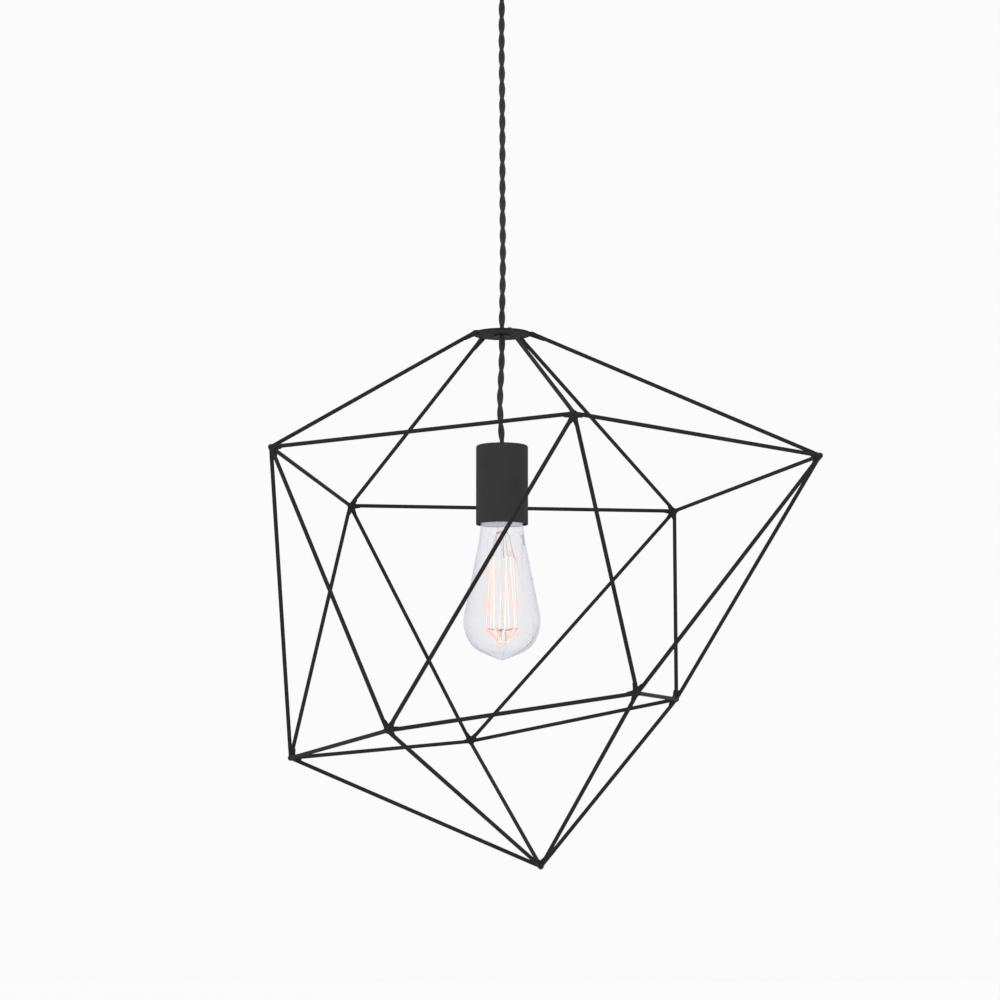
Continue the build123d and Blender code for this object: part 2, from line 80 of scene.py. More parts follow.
def add_node(tree, kind, settings=None, **links):
    """Add a shader node with its settings and its links.

    A setting is a value of the node or, by name or number, of one of its sockets. A link is the
    name of a socket, or the letter i and its number, with the output that feeds it.
    """
    node = tree.nodes.new(kind)
    for key, value in (settings or {}).items():
        if isinstance(key, int) or key in node.inputs:
            node.inputs[key].default_value = value
        else:
            setattr(node, key, value)
    for key, output in links.items():
        numbered = key[0] == "i" and key[1:].isdigit()
        socket = int(key[1:]) if numbered else key.replace("_", " ")
        tree.links.new(output, node.inputs[socket])
    return node


def new_material(name):
    """A new material, with its node tree and its shader."""
    material = bpy.data.materials.new(name)
    material.use_nodes = True
    shader = material.node_tree.nodes["Principled BSDF"]
    return material, material.node_tree, shader


# The room lights the lamp plainly, but the camera, the metal and the glass see it white
world = bpy.data.worlds.new("studio")
bpy.context.scene.world = world
world.use_nodes = True
tree = world.node_tree
tree.nodes.clear()
path_node = add_node(tree, "ShaderNodeLightPath")
seen = path_node.outputs["Is Camera Ray"]
for kind in ("Is Glossy Ray", "Is Transmission Ray"):
    seen = add_node(tree, "ShaderNodeMath", {"operation": "MAXIMUM"},
                    i0=seen, i1=path_node.outputs[kind]).outputs[0]
plain_light = add_node(tree, "ShaderNodeBackground", {"Color": linear("ffffff"), "Strength": 0.85})
white_ground = add_node(tree, "ShaderNodeBackground", {"Color": linear("fbfbfc"), "Strength": 1.0})
mixed = add_node(tree, "ShaderNodeMixShader", None,
                 i0=seen, i1=plain_light.outputs[0], i2=white_ground.outputs[0])
add_node(tree, "ShaderNodeOutputWorld", None, Surface=mixed.outputs[0])

# Each lamp's place, its width in metres and its power in watts, aimed at the middle of the cage
lamps = {
    "key": ((-1.6, -1.5, 0.1), 1.4, 18.0),
    "fill": ((1.8, -1.3, -0.4), 1.4, 10.0),
    "back": ((0.6, 1.9, 0.2), 1.6, 8.0),
}
aim_drop = 0.22
aim = Vector((0, 0, plate_z - aim_drop))
for name, (place, width, power) in lamps.items():
    data = bpy.data.lights.new(name, "AREA")
    data.size = width
    data.energy = power
    lamp = bpy.data.objects.new(name, data)
    lamp.location = place
    lamp.rotation_euler = (aim - Vector(place)).to_track_quat("-Z", "Y").to_euler()
    lamp.visible_transmission = False
    lamp.visible_glossy = False
    bpy.context.scene.collection.objects.link(lamp)

# The floor
# A matt painted studio floor, well under the lamp, that only the higher views see. It is so wide
# that its edge never shows.
floor_width = 60.0
floor_drop = 2.4
floor_lift = 0.17
patches_across = 3.0
bpy.ops.object.select_all(action="DESELECT")
bpy.ops.mesh.primitive_plane_add(size=floor_width, location=(0, 0, -floor_drop))
floor = bpy.context.active_object
floor.name = "floor"

# Pale matt paint: almost white, in patches too faint to notice. The camera sees it a little
# brighter than it is lit, so that it meets the white room without a line.
floor_finish, tree, shader = new_material("pale_floor_paint")
patches = add_node(tree, "ShaderNodeTexNoise", {"Scale": patches_across, "Detail": 3.0})
tint = add_node(tree, "ShaderNodeMix",
                {"data_type": "RGBA", 6: linear("f4f4f5"), 7: linear("f9f9fa")},
                i0=patches.outputs["Fac"])
brightened = add_node(tree, "ShaderNodeMath", {"operation": "MULTIPLY", 1: floor_lift},
                      i0=add_node(tree, "ShaderNodeLightPath").outputs["Is Camera Ray"])
tree.links.new(tint.outputs[2], shader.inputs["Base Color"])
tree.links.new(brightened.outputs[0], shader.inputs["Emission Strength"])
shader.inputs["Emission Color"].default_value = linear("ffffff")
shader.inputs["Roughness"].default_value = 0.85
floor.data.materials.append(floor_finish)

# The cage
# Thirty straight steel rods, welded five at a time at eleven corners and to the rim of a flat
# cap plate, then powder coated matt black all together, which softens every weld.
nodes = frame["nodes"]
cage_nodes = frame["record"]["behaviour"]["bodies"]["cage"]


def shaded(colour, share):
    """A hex colour made darker or lighter by a share, in linear values."""
    return (*(min(1.0, c * share) for c in linear(colour)[:3]), 1.0)


def powder_coat(name, colour):
    """Matt black powder coat: near black without a shine, faintly mottled, in a pebbled grain."""
    mottle_mm, grain_mm = 25, 0.7
    material, tree, shader = new_material(name)
    place = add_node(tree, "ShaderNodeTexCoord").outputs["Object"]
    mottle = add_node(tree, "ShaderNodeTexNoise", {"Scale": 1000 / mottle_mm, "Detail": 2.0},
                      Vector=place)
    shade = add_node(tree, "ShaderNodeMix",
                     {"data_type": "RGBA", 6: shaded(colour, 0.85), 7: shaded(colour, 1.15)},
                     i0=mottle.outputs["Fac"])
    grain = add_node(tree, "ShaderNodeTexNoise", {"Scale": 1000 / grain_mm, "Detail": 2.0},
                     Vector=place)
    bump = add_node(tree, "ShaderNodeBump", {"Strength": 0.25, "Distance": 0.00006},
                    Height=grain.outputs["Fac"])
    dullness = add_node(tree, "ShaderNodeMapRange", {"To Min": 0.72, "To Max": 0.9},
                        Value=grain.outputs["Fac"])
    tree.links.new(shade.outputs[2], shader.inputs["Base Color"])
    tree.links.new(dullness.outputs[0], shader.inputs["Roughness"])
    tree.links.new(bump.outputs[0], shader.inputs["Normal"])
    shader.inputs["IOR"].default_value = 1.5
    shader.inputs["Specular IOR Level"].default_value = 0.1
    return material


def dress(name, material):
    """Give a CAD node its finish."""
    data = nodes[name].data
    data.materials.clear()
    data.materials.append(material)


cage_coat = powder_coat("cage_powder_coat", "252525")
for name in cage_nodes:
    if "rod" in name:
        dress(name, cage_coat)


def closed_copy(node_name, new_name):
    """A copy of a CAD node's mesh with its loose triangles joined."""
    bpy.ops.object.select_all(action="DESELECT")
    piece = bpy.data.objects.new(new_name, nodes[node_name].data.copy())
    bpy.context.scene.collection.objects.link(piece)
    piece.data.materials.clear()
    piece.select_set(True)
    bpy.context.view_layer.objects.active = piece
    bpy.ops.object.mode_set(mode="EDIT")
    bpy.ops.mesh.select_all(action="SELECT")
    bpy.ops.mesh.remove_doubles(threshold=0.00002)
    bpy.ops.object.mode_set(mode="OBJECT")
    return piece


def apply_modifier(piece, kind, settings):
    """Add a modifier with its settings and apply it at once."""
    bpy.ops.object.select_all(action="DESELECT")
    piece.select_set(True)
    bpy.context.view_layer.objects.active = piece
    modifier = piece.modifiers.new(kind.lower(), kind)
    for key, value in settings.items():
        setattr(modifier, key, value)
    bpy.ops.object.modifier_apply(modifier=modifier.name)


def soften_welds(node_name, new_name, passes, beads, tapers, bead_radius, reach, flat_top=None):
    """Melt a welded piece together, so that its rods run into each other in small fillets.

    A bead of weld fills each place in beads, and a cone tapers from each place in tapers to the
    thickness of the rod that leaves it. What stands above flat_top is ground away.
    """
    piece = closed_copy(node_name, new_name)
    bpy.ops.object.mode_set(mode="EDIT")
    for place in beads:
        bpy.ops.mesh.primitive_ico_sphere_add(subdivisions=3, radius=bead_radius, location=place)
    for place, toward in tapers:
        bpy.ops.mesh.primitive_cone_add(vertices=24, radius1=bead_radius, radius2=rod_radius,
                                        depth=reach, location=place + toward * reach / 2,
                                        rotation=toward.to_track_quat("Z", "Y").to_euler())
    if flat_top is not None:
        bpy.ops.mesh.select_all(action="SELECT")
        bpy.ops.mesh.bisect(plane_co=(0, 0, flat_top), plane_no=(0, 0, 1), use_fill=True,
                            clear_outer=True)
    bpy.ops.object.mode_set(mode="OBJECT")
    apply_modifier(piece, "REMESH",
                   {"mode": "VOXEL", "voxel_size": weld_voxel, "use_smooth_shade": True})
    apply_modifier(piece, "SMOOTH", {"factor": 0.5, "iterations": passes})
    piece.data.materials.append(cage_coat)
    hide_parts(node_name)
    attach(piece, "cage")


# The corners, in millimetres from the middle of the cap plate: five above, five below and the tip
corners = [
    (-185, -105, -111), (-135, 146, -128), (55, -210, -100), (156, 187, -128), (261, -48, -110),
    (-177, 29, -355), (-87, -197, -341), (-29, 231, -334), (105, -146, -310), (150, 86, -303),
    (32, 8, -445),
]
upper_corner_count = 5
# The corners that each rod joins: the upper ring, the lower ring, the belt and the base
joined = [
    (0, 1), (1, 3), (3, 4), (4, 2), (2, 0),
    (5, 6), (6, 8), (8, 9), (9, 7), (7, 5),
    (0, 6), (6, 2), (2, 8), (8, 4), (4, 9), (9, 3), (3, 7), (7, 1), (1, 5), (5, 0),
    (10, 5), (10, 6), (10, 7), (10, 8), (10, 9),
]
plate_radius_mm = 24.7
rod_radius = 0.00165
rod_sunk = 0.0006           # the crown rods meet the rim this far under the middle of the plate
plate_rise = 0.0012         # the coated plate's flat top, over its middle
corner_reach = 0.0085
corner_bead = 0.0028
corner_passes = 10
rim_reach = 0.0130
rim_bead = 0.0025
rim_passes = 12
bead_inset = 0.0011
weld_voxel = 0.00035

corner_places = [Vector((x, y, z)) / 1000 + Vector((0, 0, plate_z)) for x, y, z in corners]
cage_heart = sum(corner_places, Vector()) / len(corner_places)
bead_places = [place + (cage_heart - place).normalized() * bead_inset for place in corner_places]
corner_tapers = []
for first, second in joined:
    toward = (corner_places[second] - corner_places[first]).normalized()
    corner_tapers += [(bead_places[first], toward), (bead_places[second], -toward)]
rim_places, rim_tapers = [], []
for place, bead in zip(corner_places[:upper_corner_count], bead_places):
    outward = place.xy.normalized() * plate_radius_mm / 1000
    rim = Vector((outward.x, outward.y, plate_z - rod_sunk))
    toward = (place - rim).normalized()
    corner_tapers.append((bead, -toward))
    rim_places.append(rim)
    rim_tapers.append((rim, toward))
soften_welds("corner_welds", "corner_weld_beads", corner_passes, bead_places, corner_tapers,
             corner_bead, corner_reach)
soften_welds("cap_plate", "cap_plate_welded", rim_passes, rim_places, rim_tapers,
             rim_bead, rim_reach, flat_top=plate_z + plate_rise)

# The cap plate's bush and the ring under it
# A moulded nylon bush lines the hole in the cap plate, so that the cage turns easily on the cord.
# An aluminium ring, crimped on the cord under the bush, carries the cage.


def moulded_plastic(name, colour, roughness):
    """Injection-moulded plastic: an even colour, slightly clouded, with a fine eroded texture."""
    cloud_mm, texture_mm = 11.1, 0.4
    material, tree, shader = new_material(name)
    place = add_node(tree, "ShaderNodeTexCoord").outputs["Object"]
    cloud = add_node(tree, "ShaderNodeTexNoise", {"Scale": 1000 / cloud_mm, "Detail": 2.0},
                     Vector=place)
    shade = add_node(tree, "ShaderNodeMix",
                     {"data_type": "RGBA", 6: shaded(colour, 0.9), 7: linear(colour)},
                     i0=cloud.outputs["Fac"])
    texture = add_node(tree, "ShaderNodeTexNoise", {"Scale": 1000 / texture_mm, "Detail": 1.0},
                       Vector=place)
    bump = add_node(tree, "ShaderNodeBump", {"Strength": 0.2, "Distance": 0.00003},
                    Height=texture.outputs["Fac"])
    tree.links.new(shade.outputs[2], shader.inputs["Base Color"])
    tree.links.new(bump.outputs[0], shader.inputs["Normal"])
    shader.inputs["Roughness"].default_value = roughness
    shader.inputs["IOR"].default_value = 1.53
    shader.inputs["Specular IOR Level"].default_value = 0.2
    return material


def bare_metal(name, colour, roughness):
    """Pressed or turned metal: fine tool marks vary its shine, and faint stains its colour."""
    mark_mm, stain_mm = 0.8, 8.33
    material, tree, shader = new_material(name)
    place = add_node(tree, "ShaderNodeTexCoord").outputs["Object"]
    marks = add_node(tree, "ShaderNodeTexNoise", {"Scale": 1000 / mark_mm, "Detail": 3.0},
                     Vector=place)
    dullness = add_node(tree, "ShaderNodeMapRange",
                        {"To Min": roughness * 0.8, "To Max": min(1, roughness * 1.3)},
                        Value=marks.outputs["Fac"])
    stain = add_node(tree, "ShaderNodeTexNoise", {"Scale": 1000 / stain_mm, "Detail": 2.0},
                     Vector=place)
    shade = add_node(tree, "ShaderNodeMix",
                     {"data_type": "RGBA", 6: shaded(colour, 0.82), 7: linear(colour)},
                     i0=stain.outputs["Fac"])
    tree.links.new(shade.outputs[2], shader.inputs["Base Color"])
    tree.links.new(dullness.outputs[0], shader.inputs["Roughness"])
    shader.inputs["Metallic"].default_value = 1.0
    return material


# Nylon that hardly shines, and aluminium blackened to a dull dark grey
black_nylon = moulded_plastic("black_nylon", "191919", 0.6)
dress("cap_bush", black_nylon)
dress("crimp_ring", bare_metal("blackened_aluminium", "222222", 0.6))

# The twisted cord
# Two cores in black braided cotton, twisted about each other. It hangs straight under the
# weight, with the small wander that such a cord keeps from the reel.
strand_radius = 0.00172
strand_offset = 0.0010
strand_sides = 14
half_twist_above = 0.01413
half_twist_below = 0.01500
start_above = 0.25          # where the twist starts, in half turns
start_below = 0.6
yarn_mm = 0.9


def braided_cloth(name, colour):
    """A braided cotton sleeve: a diamond weave of matt, slightly fuzzy yarns, which follows the
    strand's own UV map. Its colour holds painted shade in the weave's hollows and painted light
    on the yarns' tops."""
    fuzz_mm = 0.385
    material, tree, shader = new_material(name)
    uv = add_node(tree, "ShaderNodeUVMap").outputs["UV"]
    split = add_node(tree, "ShaderNodeSeparateXYZ", None, Vector=uv)
    heights = []
    for direction in (1.0, -1.0):
        around = add_node(tree, "ShaderNodeMath", {"operation": "MULTIPLY", 1: direction},
                          i0=split.outputs["X"])
        slanted = add_node(tree, "ShaderNodeMath", {"operation": "ADD"},
                           i0=around.outputs[0], i1=split.outputs["Y"])
        turned = add_node(tree, "ShaderNodeMath", {"operation": "MULTIPLY", 1: 2 * math.pi},
                          i0=slanted.outputs[0])
        wave = add_node(tree, "ShaderNodeMath", {"operation": "SINE"}, i0=turned.outputs[0])
        heights.append(wave.outputs[0])
    weave = add_node(tree, "ShaderNodeMath", {"operation": "MULTIPLY"},
                     i0=heights[0], i1=heights[1])
    # Painted shade and light: the colour darkens in the weave's hollows and lightens on the yarns'
    # tops
    lit = add_node(tree, "ShaderNodeMapRange", {"From Min": -1.0, "From Max": 1.0},
                   Value=weave.outputs[0])
    shade = add_node(tree, "ShaderNodeMix",
                     {"data_type": "RGBA", 6: shaded(colour, 0.55), 7: shaded(colour, 1.3)},
                     i0=lit.outputs[0])
    place = add_node(tree, "ShaderNodeTexCoord").outputs["Object"]
    fuzz = add_node(tree, "ShaderNodeTexNoise", {"Scale": 1000 / fuzz_mm, "Detail": 2.0},
                    Vector=place)
    rough = add_node(tree, "ShaderNodeMath", {"operation": "ADD"},
                     i0=weave.outputs[0], i1=fuzz.outputs["Fac"])
    bump = add_node(tree, "ShaderNodeBump", {"Strength": 0.7, "Distance": 0.00015},
                    Height=rough.outputs[0])
    tree.links.new(shade.outputs[2], shader.inputs["Base Color"])
    tree.links.new(bump.outputs[0], shader.inputs["Normal"])
    shader.inputs["Roughness"].default_value = 0.9
    shader.inputs["Sheen Weight"].default_value = 0.08
    shader.inputs["Sheen Roughness"].default_value = 0.5
    return material


cord_cloth = braided_cloth("braided_black_cotton", "2a2a2a")


def spline_points(name, route):
    """Points along the smooth line that has the route's points as its control points."""
    curve = bpy.data.curves.new(name, "CURVE")
    curve.dimensions = "3D"
    curve.resolution_u = 24
    line = curve.splines.new("NURBS")
    line.points.add(len(route) - 1)
    for point, place in zip(line.points, route):
        point.co = (*place, 1)
    line.order_u = 3
    line.use_endpoint_u = True
    guide = bpy.data.objects.new(name, curve)
    bpy.context.scene.collection.objects.link(guide)
    mesh = bpy.data.meshes.new_from_object(guide)
    points = [vertex.co.copy() for vertex in mesh.vertices]
    bpy.data.objects.remove(guide)
    return points


def evenly(points, step):
    """The same line with points a fixed step apart."""
    spaced = [points[0]]
    left = step
    for first, second in zip(points, points[1:]):
        run = (second - first).length
        while run >= left:
            first = first.lerp(second, left / run)
            spaced.append(first)
            run = (second - first).length
            left = step
        left -= run
    return spaced


def twisted_cord(name, route, half_twist, start_turn):
    """A mesh of two strands that wind about a route, one opposite the other, and their path."""
    path = evenly(spline_points(name + "_line", route), strand_radius / 2)
    weave_length = 2 * yarn_mm / 1000
    weaves_around = round(2 * math.pi * strand_radius / weave_length)
    mesh = bmesh.new()
    uv_map = mesh.loops.layers.uv.new("UVMap")
    for strand in (0, 1):
        rings = []
        travelled = 0.0
        for index, place in enumerate(path):
            if index:
                travelled += (place - path[index - 1]).length
            ahead = path[min(index + 1, len(path) - 1)] - path[max(index - 1, 0)]
            ahead.normalize()
            side = ahead.cross(Vector((0, 1, 0))).normalized()
            front = ahead.cross(side).normalized()
            turn = math.pi * (travelled / half_twist + start_turn) + math.pi * strand
            centre = place + (side * math.cos(turn) + front * math.sin(turn)) * strand_offset
            ring = []
            for step in range(strand_sides):
                angle = 2 * math.pi * step / strand_sides
                outward = side * math.cos(angle) + front * math.sin(angle)
                ring.append(mesh.verts.new(centre + outward * strand_radius))
            rings.append((ring, travelled / weave_length))
        for (low, low_v), (high, high_v) in zip(rings, rings[1:]):
            for step in range(strand_sides):
                after = (step + 1) % strand_sides
                face = mesh.faces.new((low[step], low[after], high[after], high[step]))
                face.smooth = True
                left, right = (weaves_around * s / strand_sides for s in (step, step + 1))
                uv_corners = ((left, low_v), (right, low_v), (right, high_v), (left, high_v))
                for loop, uv_corner in zip(face.loops, uv_corners):
                    loop[uv_map].uv = uv_corner
        mesh.faces.new(rings[0][0][::-1])
        mesh.faces.new(rings[-1][0])
    bmesh.ops.recalc_face_normals(mesh, faces=mesh.faces)
    data = bpy.data.meshes.new(name)
    mesh.to_mesh(data)
    mesh.free()
    piece = bpy.data.objects.new(name, data)
    bpy.context.scene.collection.objects.link(piece)
    piece.data.materials.append(cord_cloth)
    return piece, path


# From the cord grip down to the cap plate, with the wander that the photograph shows
upper_low, upper_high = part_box("upper_cord")
upper_route = [
    (0.0000, 0, upper_high.z),
    (0.0000, 0, -0.066),
    (-0.0004, 0, -0.110),
    (0.0001, 0, -0.155),
    (0.0004, 0, -0.200),
    (0.0004, 0, -0.250),
    (0.0009, 0, -0.300),
    (0.0003, 0, -0.335),
    (-0.0001, 0, -0.352),
    (0.0000, 0, -0.360),
    (0.0000, 0, upper_low.z),
]
upper_piece, upper_path = twisted_cord("upper_cord_twisted", upper_route, half_twist_above,
                                       start_above)
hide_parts("upper_cord")
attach(upper_piece, "hanging_cord")

# From the cap plate down into the socket
lower_low, lower_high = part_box("lower_cord")
lower_route = [
    (0.0000, 0, lower_high.z),
    (0.0000, 0, -0.378),
    (-0.0006, 0, -0.398),
    (-0.0018, 0, -0.418),
    (-0.0014, 0, -0.436),
    (-0.0004, 0, -0.450),
    (0.0000, 0, -0.457),
    (0.0000, 0, lower_low.z),
]
lower_piece, lower_path = twisted_cord("lower_cord_twisted", lower_route, half_twist_below,
                                       start_below)
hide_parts("lower_cord")
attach(lower_piece, "socket")

# The cores where the braid is cut back, in smooth soft plastic of a lighter black
for name in ("canopy_cores", "holder_cores"):
    dress(name, moulded_plastic(name + "_sheath", "38383a", 0.6))

# The socket cover
# A drawn steel cup, powder coated like the cage, with a closed top and a thin open rim below. A
# black bush lines the hole in its top where the cord goes in.
dress("socket_cover", powder_coat("socket_powder_coat", "323232"))
dress("cover_bush", black_nylon)

# The lampholder inside the cover
# A black thermoset cap and body hold a nickel-plated threaded shell, a sprung brass contact
# and two screw terminals for the cores of the cord. The resin shines softly.
holder_resin = moulded_plastic("black_thermoset", "262626", 0.38)
dress("holder_cap", holder_resin)
dress("holder_body", holder_resin)

# Brass is a clear warm yellow, and its nickel plate a warm grey, both with a bright shine
brass = bare_metal("yellow_brass", "c9a75a", 0.3)
nickel_shell = bare_metal("nickel_plated_brass", "b9b4ab", 0.28)
dress("thread_shell", nickel_shell)
dress("centre_contact", brass)
dress("holder_terminals", brass)

# The bulb's screw cap
# Nickel-plated brass, cemented to the neck of the glass and closed by glossy black glass round
# its centre contact of dull grey solder. The rolled thread is left out, as in the solids.
dress("bulb_cap", nickel_shell)
dress("bulb_insulator", moulded_plastic("black_vitrite_glass", "151515", 0.15))
dress("bulb_contact", bare_metal("tinned_contact", "c4c2bd", 0.35))

# The bulb's glass
# A blown pear of clear glass with a thin wall, drawn in to a neck. White cement fills the joint
# between the neck and the cap, and shows through the glass there, given a faint painted glow.
cap_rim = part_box("bulb_cap")[0].z
glass_sides = 128


def spun(name, profile, sides):
    """A turned shape: a ring at the profile's first (radius, height), extruded to each next."""
    least = 0.000001
    profile = [(max(radius, least), height) for radius, height in profile]
    bpy.ops.object.select_all(action="DESELECT")
    radius_now, height_now = profile[0]
    bpy.ops.mesh.primitive_circle_add(vertices=sides, radius=radius_now)
    piece = bpy.context.active_object
    piece.name = name
    bpy.ops.object.mode_set(mode="EDIT")
    bpy.ops.mesh.select_all(action="SELECT")
    bpy.ops.transform.translate(value=(0, 0, height_now))
    for radius, height in profile[1:]:
        bpy.ops.mesh.extrude_region_move(
            TRANSFORM_OT_translate={"value": (0, 0, height - height_now)})
        ratio = radius / radius_now
        bpy.ops.transform.resize(value=(ratio, ratio, 1), center_override=(0, 0, height))
        radius_now, height_now = radius, height
    bpy.ops.mesh.select_all(action="SELECT")
    bpy.ops.mesh.remove_doubles(threshold=3 * least)
    bpy.ops.mesh.normals_make_consistent(inside=False)
    bpy.ops.mesh.faces_shade_smooth()
    bpy.ops.object.mode_set(mode="OBJECT")
    return piece


def arc_through(first, middle, last, count):
    """Points on the arc that starts at the first place, passes the middle, ends at the last."""
    (ax, ay), (bx, by), (cx, cy) = first, middle, last
    twice = 2 * (ax * (by - cy) + bx * (cy - ay) + cx * (ay - by))
    a2, b2, c2 = ax * ax + ay * ay, bx * bx + by * by, cx * cx + cy * cy
    x = (a2 * (by - cy) + b2 * (cy - ay) + c2 * (ay - by)) / twice
    y = (a2 * (cx - bx) + b2 * (ax - cx) + c2 * (bx - ax)) / twice
    radius = math.hypot(ax - x, ay - y)
    start = math.atan2(ay - y, ax - x)
    end = math.atan2(cy - y, cx - x)
    return [(x + radius * math.cos(start + (end - start) * i / count),
             y + radius * math.sin(start + (end - start) * i / count)) for i in range(count + 1)]


def clear_glass(name, centre, edge, milky_from=None):
    """Clear glass with painted grey shade towards its edge. Above the height milky_from it turns
    milky, with a faint painted glow.
    """
    wave_mm = 22.2
    milky_fade = 0.0020
    material, tree, shader = new_material(name)
    place = add_node(tree, "ShaderNodeTexCoord").outputs["Object"]
    wave = add_node(tree, "ShaderNodeTexNoise", {"Scale": 1000 / wave_mm, "Detail": 1.0},
                    Vector=place)
    uneven_edge_shade = add_node(tree, "ShaderNodeMapRange", {"To Min": 0.9, "To Max": 1.1},
                      Value=wave.outputs["Fac"])
    # Painted shade: the colour greys where the glass turns away from the eye, standing in for the
    # dark edge that refraction and reflection give it
    slope = add_node(tree, "ShaderNodeLayerWeight", {"Blend": 0.5}).outputs["Facing"]
    bent = add_node(tree, "ShaderNodeMath", {"operation": "POWER", 1: 2.5}, i0=slope)
    painted_edge_shade = add_node(tree, "ShaderNodeMath", {"operation": "MULTIPLY", "use_clamp": True},
                           i0=bent.outputs[0], i1=uneven_edge_shade.outputs[0])
    tint = add_node(tree, "ShaderNodeMix",
                    {"data_type": "RGBA", 6: linear(centre), 7: linear(edge)},
                    i0=painted_edge_shade.outputs[0])
    tree.links.new(tint.outputs[2], shader.inputs["Base Color"])
    shader.inputs["Transmission Weight"].default_value = 1.0
    shader.inputs["Roughness"].default_value = 0.0
    shader.inputs["IOR"].default_value = 1.5
    if milky_from is not None:
        height = add_node(tree, "ShaderNodeSeparateXYZ", None, Vector=place).outputs["Z"]
        milk = add_node(tree, "ShaderNodeMapRange",
                        {"interpolation_type": "SMOOTHSTEP",
                         "From Min": milky_from - milky_fade, "From Max": milky_from},
                        Value=height)
        clear = add_node(tree, "ShaderNodeMath", {"operation": "SUBTRACT", 0: 1.0},
                         i1=milk.outputs[0])
        cement = add_node(tree, "ShaderNodeMix", {"data_type": "RGBA", 7: linear("8e8c94")},
                          i0=milk.outputs[0], i6=tint.outputs[2])
        # Painted light: the grey cement band glows faintly, as if lit by the filament
        painted_glow = add_node(tree, "ShaderNodeMath", {"operation": "MULTIPLY", 1: 0.5},
                        i0=milk.outputs[0])
        tree.links.new(cement.outputs[2], shader.inputs["Base Color"])
        tree.links.new(clear.outputs[0], shader.inputs["Transmission Weight"])
        tree.links.new(painted_glow.outputs[0], shader.inputs["Emission Strength"])
        shader.inputs["Emission Color"].default_value = linear("e9e4ee")
    return material


# Radius and height from the cap's rim, from inside the cap down to the tip
glass_outside = [
    (0.0123, 0.012), (0.0123, -0.0003), (0.0127, -0.0011), (0.0138, -0.0019),
    *arc_through((0.0152, -0.0026), (0.0175, -0.0045), (0.0183, -0.0080), 8),
    (0.0188, -0.0140),
    (0.0196, -0.0200),
    *arc_through((0.0307, -0.0760), (0.0321, -0.0890), (0.0268, -0.1045), 24),
    *arc_through((0.0254, -0.1063), (0.0220, -0.1095), (0.0170, -0.1124), 8),
    (0.0099, -0.1155), (0.0050, -0.1174), (0.0024, -0.1184), (0.0009, -0.1189), (0.0000, -0.1190),
]
glass_wall = 0.0008
cement_depth = 0.0042

# Blown soda glass: clear in the middle, with a cool grey painted shade at the edge, where the eye
# looks along it
bulb_clear_glass = clear_glass("clear_blown_glass", "f8f8f9", "b6b6ca",
                               milky_from=cap_rim - cement_depth)
glass_piece = spun("bulb_envelope", [(r, cap_rim + z) for r, z in glass_outside], glass_sides)
apply_modifier(glass_piece, "SOLIDIFY",
               {"thickness": glass_wall, "offset": -1.0, "use_even_offset": True})
glass_piece.data.materials.append(bulb_clear_glass)
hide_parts("bulb_glass")
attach(glass_piece, "bulb")

# Inside the bulb
# A glass stem holds five copper-plated hooks above and, at the foot of its rod, five below. The
# carbon filament hangs between them in ten long legs and glows warm white.


def glowing_carbon(name, hot, cooler, strength):
    """A lit carbon filament: white on the sides that face out and in, peach on its flanks."""
    patch_mm = 16.7
    material, tree, shader = new_material(name)
    coordinates = add_node(tree, "ShaderNodeTexCoord")
    from_axis = add_node(tree, "ShaderNodeVectorMath", {"operation": "MULTIPLY", 1: (1, 1, 0)},
                         i0=coordinates.outputs["Object"])
    outward = add_node(tree, "ShaderNodeVectorMath", {"operation": "NORMALIZE"},
                       i0=from_axis.outputs[0])
    faced = add_node(tree, "ShaderNodeVectorMath", {"operation": "DOT_PRODUCT"},
                     i0=outward.outputs[0], i1=coordinates.outputs["Normal"])
    facing = add_node(tree, "ShaderNodeMath", {"operation": "ABSOLUTE"},
                      i0=faced.outputs["Value"])
    core = add_node(tree, "ShaderNodeMapRange",
                    {"interpolation_type": "SMOOTHSTEP", "From Min": 0.4, "From Max": 0.85},
                    Value=facing.outputs[0])
    shade = add_node(tree, "ShaderNodeMix",
                     {"data_type": "RGBA", 6: linear(cooler), 7: linear(hot)},
                     i0=core.outputs[0])
    uneven = add_node(tree, "ShaderNodeTexNoise", {"Scale": 1000 / patch_mm, "Detail": 1.0},
                      Vector=coordinates.outputs["Object"])
    heat = add_node(tree, "ShaderNodeMapRange",
                    {"To Min": strength * 0.9, "To Max": strength * 1.1},
                    Value=uneven.outputs["Fac"])
    tree.links.new(shade.outputs[2], shader.inputs["Emission Color"])
    tree.links.new(heat.outputs[0], shader.inputs["Emission Strength"])
    shader.inputs["Base Color"].default_value = linear("2a1a10")
    return material


# Lead glass of the stem: clear, with a soft grey painted shade at its edge
dress("bulb_stem", clear_glass("stem_lead_glass", "fbfafb", "e0dde6"))


def at(radius, angle, height):
    """A place inside the bulb, at an angle in degrees about the lamp's axis."""
    turn = math.radians(angle)
    return Vector((radius * math.cos(turn), radius * math.sin(turn), height))


